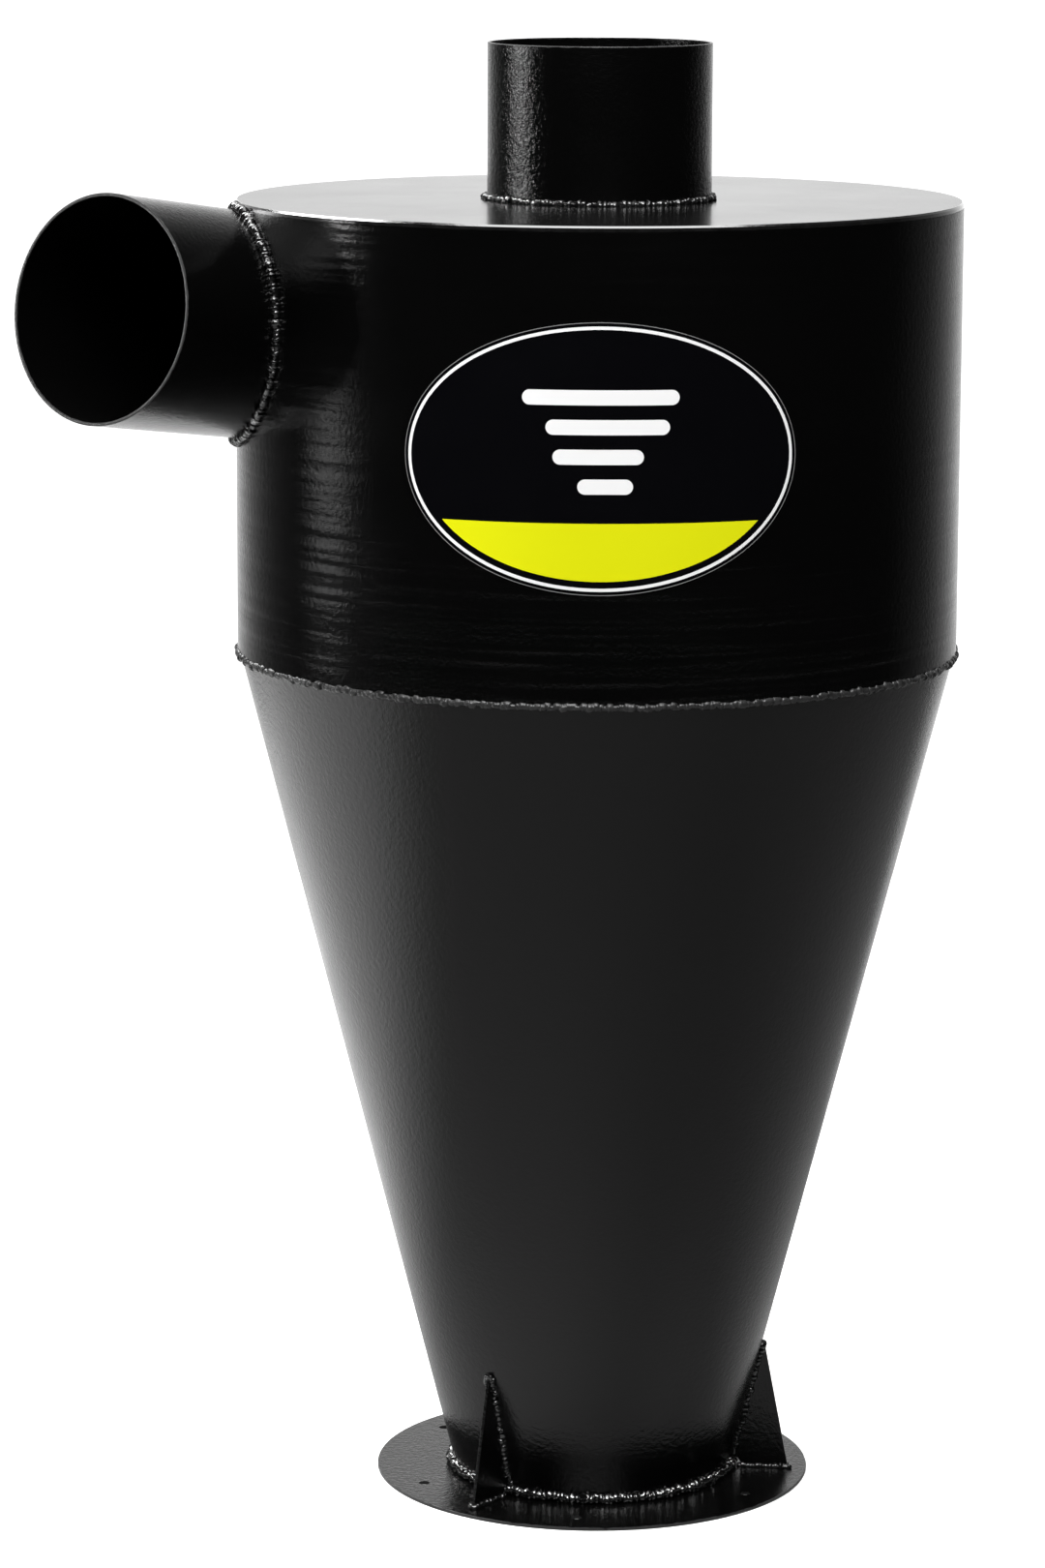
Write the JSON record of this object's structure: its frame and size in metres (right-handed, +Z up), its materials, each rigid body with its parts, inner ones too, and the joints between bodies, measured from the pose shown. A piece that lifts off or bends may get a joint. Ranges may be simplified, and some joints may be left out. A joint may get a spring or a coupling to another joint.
{
  "type": "cyclone dust collector",
  "caption": "Sheet-steel cyclone dust collector: round barrel on a tapering cone, slanted tangential hose inlet, upright hose outlet and a bolt-on base flange with gussets.",
  "frame": {"origin": "centre of the base flange's underside, on the axis of the barrel and cone", "axes": "+Z up along the machine's axis; the front with the label faces -Y; the inlet is at -X, -Y"},
  "size_m": [0.417, 0.3262, 0.6549],
  "materials": {
    "black_coat": "satin black powder coat with a fine orange peel",
    "coated_weld": "rippled weld bead under glossy black coat",
    "label_vinyl": "printed vinyl sticker"
  },
  "bodies": {
    "root": {"base_flange": "black_coat", "cone": "black_coat", "barrel": "black_coat", "lid": "black_coat", "inlet_tube": "black_coat", "outlet_tube": "black_coat", "gusset_1": "black_coat", "gusset_2": "black_coat", "gusset_3": "black_coat", "label": "label_vinyl", "lid_weld": "coated_weld", "outlet_weld": "coated_weld", "inlet_weld": "coated_weld", "barrel_cone_weld": "coated_weld", "cone_base_weld": "coated_weld", "barrel_seam_weld": "coated_weld", "cone_seam_weld": "coated_weld", "gusset_1_cone_weld": "coated_weld", "gusset_2_cone_weld": "coated_weld", "gusset_3_cone_weld": "coated_weld", "gusset_1_base_weld": "coated_weld", "gusset_2_base_weld": "coated_weld", "gusset_3_base_weld": "coated_weld"}
  },
  "joints": []
}
